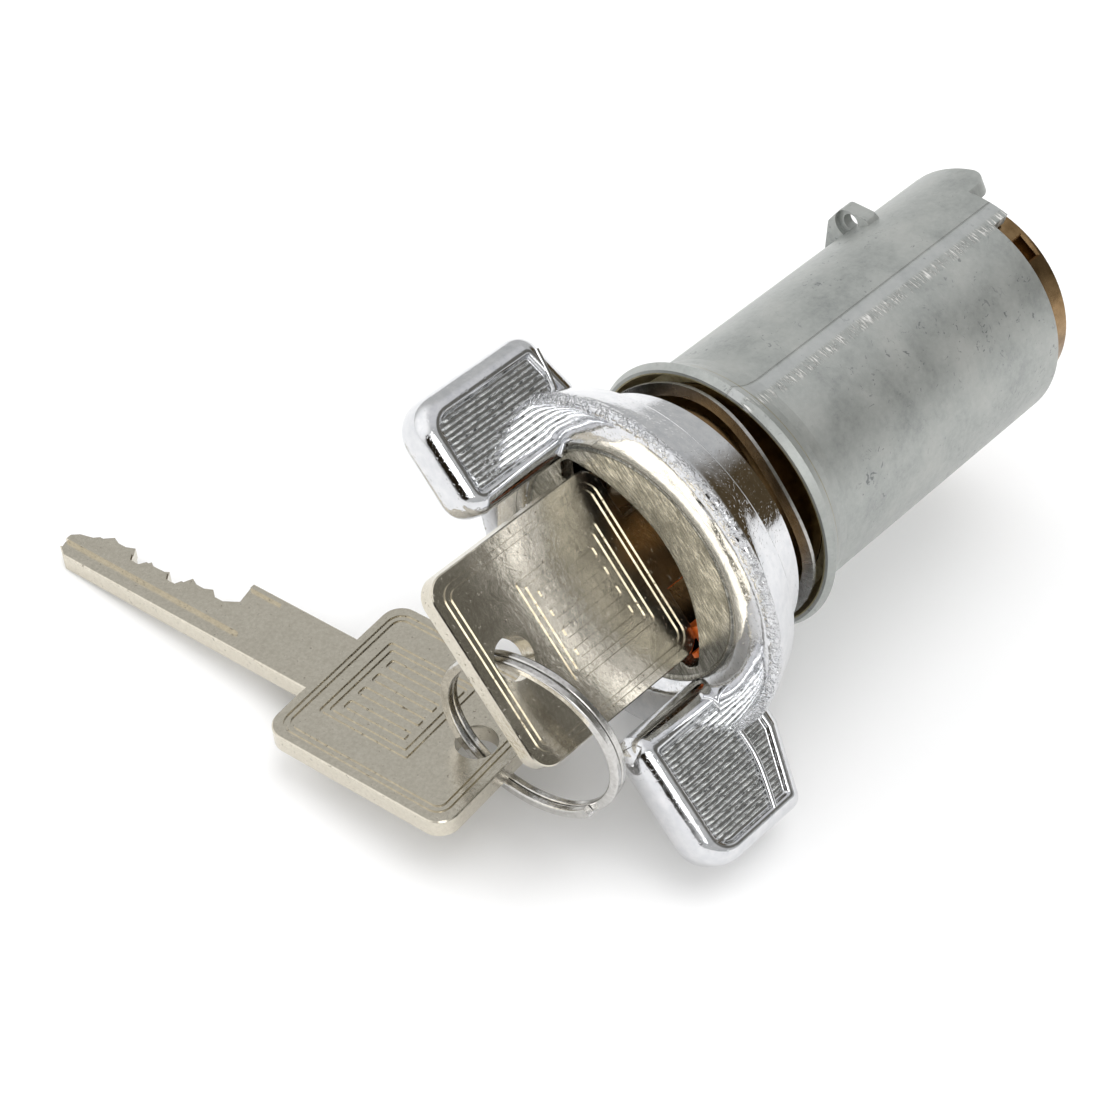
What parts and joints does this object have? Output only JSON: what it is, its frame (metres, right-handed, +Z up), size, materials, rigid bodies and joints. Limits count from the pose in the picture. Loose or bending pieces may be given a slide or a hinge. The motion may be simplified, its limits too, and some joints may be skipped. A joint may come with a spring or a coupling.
{
  "type": "key lock cylinder with turning knob",
  "caption": "Key-operated rotary lock cylinder: die-cast sleeve, turning chromed knob with finger ears, inserted key, and a spare key on a split ring.",
  "frame": {"origin": "on the lock's axis in the plane of the sleeve's mouth", "axes": "+Y along the lock's axis towards the rear of the sleeve; knob and keys face -Y; +Z up with the lock laid on its lower ear"},
  "size_m": [0.084, 0.0929, 0.0447],
  "materials": {
    "zinc_sleeve": "zinc plated die casting, dull, fine scratches",
    "spring_steel": "plain spring steel",
    "chrome_knob": "decorative chrome over a die casting",
    "bronze_rotor": "bronze-brown passivated die casting",
    "plug_metal": "machined brass",
    "face_plate": "brushed stainless",
    "tumbler_brass": "stamped brass",
    "orange_plastic": "moulded orange plastic",
    "nickel_key": "nickel plated, satin",
    "ring_steel": "bright nickel wire"
  },
  "bodies": {
    "sleeve": {"sleeve_housing": "zinc_sleeve", "retaining_ring": "spring_steel", "wave_washer": "spring_steel"},
    "rotor": {"knob_bezel": "chrome_knob", "knob_pins": "spring_steel", "rotor_body": "bronze_rotor", "key_plug": "plug_metal", "plug_face_plate": "face_plate", "tumbler_springs": "spring_steel", "sidebar": "plug_metal", "sidebar_springs": "spring_steel", "actuator_spring": "spring_steel"},
    "key": {"key_inserted": "nickel_key"},
    "ring": {"split_ring": "ring_steel"},
    "spare": {"key_spare": "nickel_key"},
    "plunger": {"warning_actuator": "orange_plastic"},
    "tumbler_1": {"tumbler_1": "tumbler_brass"},
    "tumbler_2": {"tumbler_2": "tumbler_brass"},
    "tumbler_3": {"tumbler_3": "tumbler_brass"},
    "tumbler_4": {"tumbler_4": "tumbler_brass"},
    "tumbler_5": {"tumbler_5": "tumbler_brass"},
    "tumbler_6": {"tumbler_6": "tumbler_brass"}
  },
  "joints": [
    {"name": "rotor_turn", "type": "hinge", "parent": "sleeve", "child": "rotor", "pos_m": [0, 0, 0], "axis": [0, 1, 0], "range_deg": [-25, 80]},
    {"name": "key_withdraw", "type": "slide", "parent": "rotor", "child": "key", "axis": [0, -1, 0], "range_m": [0, 0.04]},
    {"name": "ring_swing", "type": "hinge", "parent": "key", "child": "ring", "pos_m": [0.00031, -0.0307, -0.00026], "axis": [-0.6401, 0, -0.7683], "range_deg": [0, 50]},
    {"name": "spare_key_swing", "type": "hinge", "parent": "ring", "child": "spare", "pos_m": [0.00333, -0.0303, -0.00889], "axis": [-0.164, 0.9849, 0.0547], "range_deg": [-15, 20]},
    {"name": "plunger_slide", "type": "slide", "parent": "rotor", "child": "plunger", "axis": [0, -1, 0], "range_m": [0, 0.0015]},
    {"name": "tumbler_1_slide", "type": "slide", "parent": "rotor", "child": "tumbler_1", "axis": [-0.7683, 0, 0.6401], "range_m": [0, 0.0004]},
    {"name": "tumbler_2_slide", "type": "slide", "parent": "rotor", "child": "tumbler_2", "axis": [-0.7683, 0, 0.6401], "range_m": [0, 0.0004]},
    {"name": "tumbler_3_slide", "type": "slide", "parent": "rotor", "child": "tumbler_3", "axis": [0.7683, 0, -0.6401], "range_m": [0, 0.0004]},
    {"name": "tumbler_4_slide", "type": "slide", "parent": "rotor", "child": "tumbler_4", "axis": [0.7683, 0, -0.6401], "range_m": [0, 0.0004]},
    {"name": "tumbler_5_slide", "type": "slide", "parent": "rotor", "child": "tumbler_5", "axis": [0.7683, 0, -0.6401], "range_m": [0, 0.0004]},
    {"name": "tumbler_6_slide", "type": "slide", "parent": "rotor", "child": "tumbler_6", "axis": [-0.7683, 0, 0.6401], "range_m": [0, 0.0004]}
  ],
  "couplings": [
    {"joint": "plunger_slide", "follows": "key_withdraw", "ratio": 0.0375},
    {"joint": "tumbler_1_slide", "follows": "key_withdraw", "ratio": 0.01},
    {"joint": "tumbler_2_slide", "follows": "key_withdraw", "ratio": 0.01},
    {"joint": "tumbler_3_slide", "follows": "key_withdraw", "ratio": 0.01},
    {"joint": "tumbler_4_slide", "follows": "key_withdraw", "ratio": 0.01},
    {"joint": "tumbler_5_slide", "follows": "key_withdraw", "ratio": 0.01},
    {"joint": "tumbler_6_slide", "follows": "key_withdraw", "ratio": 0.01}
  ]
}
